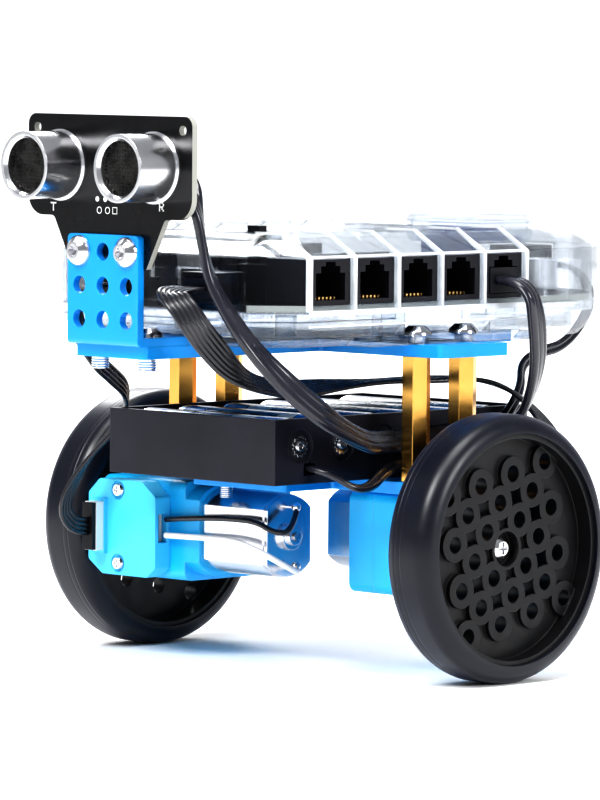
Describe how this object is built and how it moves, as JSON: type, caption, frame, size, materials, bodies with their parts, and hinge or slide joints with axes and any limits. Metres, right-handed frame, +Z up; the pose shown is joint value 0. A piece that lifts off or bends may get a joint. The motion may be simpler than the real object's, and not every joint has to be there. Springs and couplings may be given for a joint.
{
  "type": "two wheel robot car",
  "caption": "Self-balancing educational robot on a pair of motor-driven wheels, with blue hole-grid plates, battery tray, clear cased control board and distance sensor.",
  "frame": {"origin": "on the floor, under the middle of the wheel axle", "axes": "+X along the axle to the robot's left wheel, -Y to the front where the sensor looks, +Z up"},
  "size_m": [0.133, 0.1686, 0.134],
  "materials": {
    "blue_plate": "satin anodised blue",
    "brass": "bright",
    "steel": "bright",
    "tray_black": "fine matt",
    "cell_wrap": "printed sleeve",
    "board_black": "satin",
    "bright_can": "brushed",
    "eye_mesh": "woven",
    "socket_black": "satin",
    "plug_black": "satin",
    "tyre_black": "smooth satin",
    "rim_black": "fine matt",
    "gearbox_blue": "satin",
    "cover_blue": "satin",
    "gear_white": "moulded",
    "shaft_steel": "ground",
    "clear_case": "clear moulded plastic",
    "lamp_white": "satin",
    "radio_blue": "satin",
    "cable_black": "glossy sleeve",
    "cable_white": "glossy sleeve"
  },
  "bodies": {
    "chassis": {"battery_lead": "cable_black", "battery_tray": "tray_black", "black_lead_left": "cable_black", "black_lead_right": "cable_black", "board_cans": "bright_can", "board_chips": "socket_black", "button_screws": "steel", "case_bottom": "clear_case", "case_top": "clear_case", "cells": "cell_wrap", "contact_rivets": "steel", "encoder_boards": "board_black", "encoder_covers": "cover_blue", "eye_meshes": "eye_mesh", "gear_housing_left": "gearbox_blue", "gear_housing_right": "gearbox_blue", "gear_pins": "steel", "left_motor_cable": "cable_black", "light_ring": "lamp_white", "lower_plate": "blue_plate", "main_board": "board_black", "motor_cable_plugs": "plug_black", "motor_cans": "bright_can", "motor_caps": "socket_black", "motor_mounts": "gearbox_blue", "port_banks": "socket_black", "power_jack": "socket_black", "power_plug": "plug_black", "radio_module": "radio_blue", "right_motor_cable": "cable_black", "sensor_board": "board_black", "sensor_bracket": "blue_plate", "sensor_cable": "cable_black", "sensor_cable_plugs": "plug_black", "sensor_eyes": "bright_can", "sensor_nuts": "steel", "sensor_socket": "socket_black", "small_screws": "steel", "standoffs": "brass", "switch_bodies": "socket_black", "upper_plate": "blue_plate", "usb_port": "steel", "white_lead_left": "cable_white", "white_lead_right": "cable_white"},
    "wheel_left": {"tyre_left": "tyre_black", "rim_left": "rim_black", "wheel_screw_left": "steel", "output_shaft_left": "shaft_steel"},
    "gear_one_left_body": {"gear_one_left": "gear_white"},
    "gear_two_left_body": {"gear_two_left": "gear_white"},
    "rotor_left_body": {"rotor_left": "shaft_steel"},
    "wheel_right": {"tyre_right": "tyre_black", "rim_right": "rim_black", "wheel_screw_right": "steel", "output_shaft_right": "shaft_steel"},
    "gear_one_right_body": {"gear_one_right": "gear_white"},
    "gear_two_right_body": {"gear_two_right": "gear_white"},
    "rotor_right_body": {"rotor_right": "shaft_steel"},
    "power_switch": {"power_slider": "socket_black"},
    "reset": {"reset_button": "lamp_white"}
  },
  "joints": [
    {"name": "wheel_left_spin", "type": "hinge", "parent": "chassis", "child": "wheel_left", "pos_m": [0.0592, 0, 0.032], "axis": [1, 0, 0], "continuous": true},
    {"name": "gear_one_left_spin", "type": "hinge", "parent": "chassis", "child": "gear_one_left_body", "pos_m": [0.033, 0.01026, 0.03624], "axis": [1, 0, 0], "continuous": true},
    {"name": "gear_two_left_spin", "type": "hinge", "parent": "chassis", "child": "gear_two_left_body", "pos_m": [0.033, 0.0104, 0.02784], "axis": [1, 0, 0], "continuous": true},
    {"name": "rotor_left_spin", "type": "hinge", "parent": "chassis", "child": "rotor_left_body", "pos_m": [0.033, 0.0157, 0.032], "axis": [1, 0, 0], "continuous": true},
    {"name": "wheel_right_spin", "type": "hinge", "parent": "chassis", "child": "wheel_right", "pos_m": [-0.0592, 0, 0.032], "axis": [1, 0, 0], "continuous": true},
    {"name": "gear_one_right_spin", "type": "hinge", "parent": "chassis", "child": "gear_one_right_body", "pos_m": [-0.033, -0.01026, 0.03624], "axis": [1, 0, 0], "continuous": true},
    {"name": "gear_two_right_spin", "type": "hinge", "parent": "chassis", "child": "gear_two_right_body", "pos_m": [-0.033, -0.0104, 0.02784], "axis": [1, 0, 0], "continuous": true},
    {"name": "rotor_right_spin", "type": "hinge", "parent": "chassis", "child": "rotor_right_body", "pos_m": [-0.033, -0.0157, 0.032], "axis": [1, 0, 0], "continuous": true},
    {"name": "power_switch_slide", "type": "slide", "parent": "chassis", "child": "power_switch", "axis": [1, 0, 0], "range_m": [0, 0.0037]},
    {"name": "reset_press", "type": "slide", "parent": "chassis", "child": "reset", "axis": [0, 0, -1], "range_m": [0, 0.0009], "stiffness_N_per_m": 800, "springref_m": -0.0005}
  ],
  "couplings": [
    {"joint": "gear_one_left_spin", "follows": "wheel_left_spin", "ratio": 11},
    {"joint": "gear_two_left_spin", "follows": "wheel_left_spin", "ratio": -3.6667},
    {"joint": "rotor_left_spin", "follows": "wheel_left_spin", "ratio": -39.6},
    {"joint": "gear_one_right_spin", "follows": "wheel_right_spin", "ratio": 11},
    {"joint": "gear_two_right_spin", "follows": "wheel_right_spin", "ratio": -3.6667},
    {"joint": "rotor_right_spin", "follows": "wheel_right_spin", "ratio": -39.6}
  ]
}
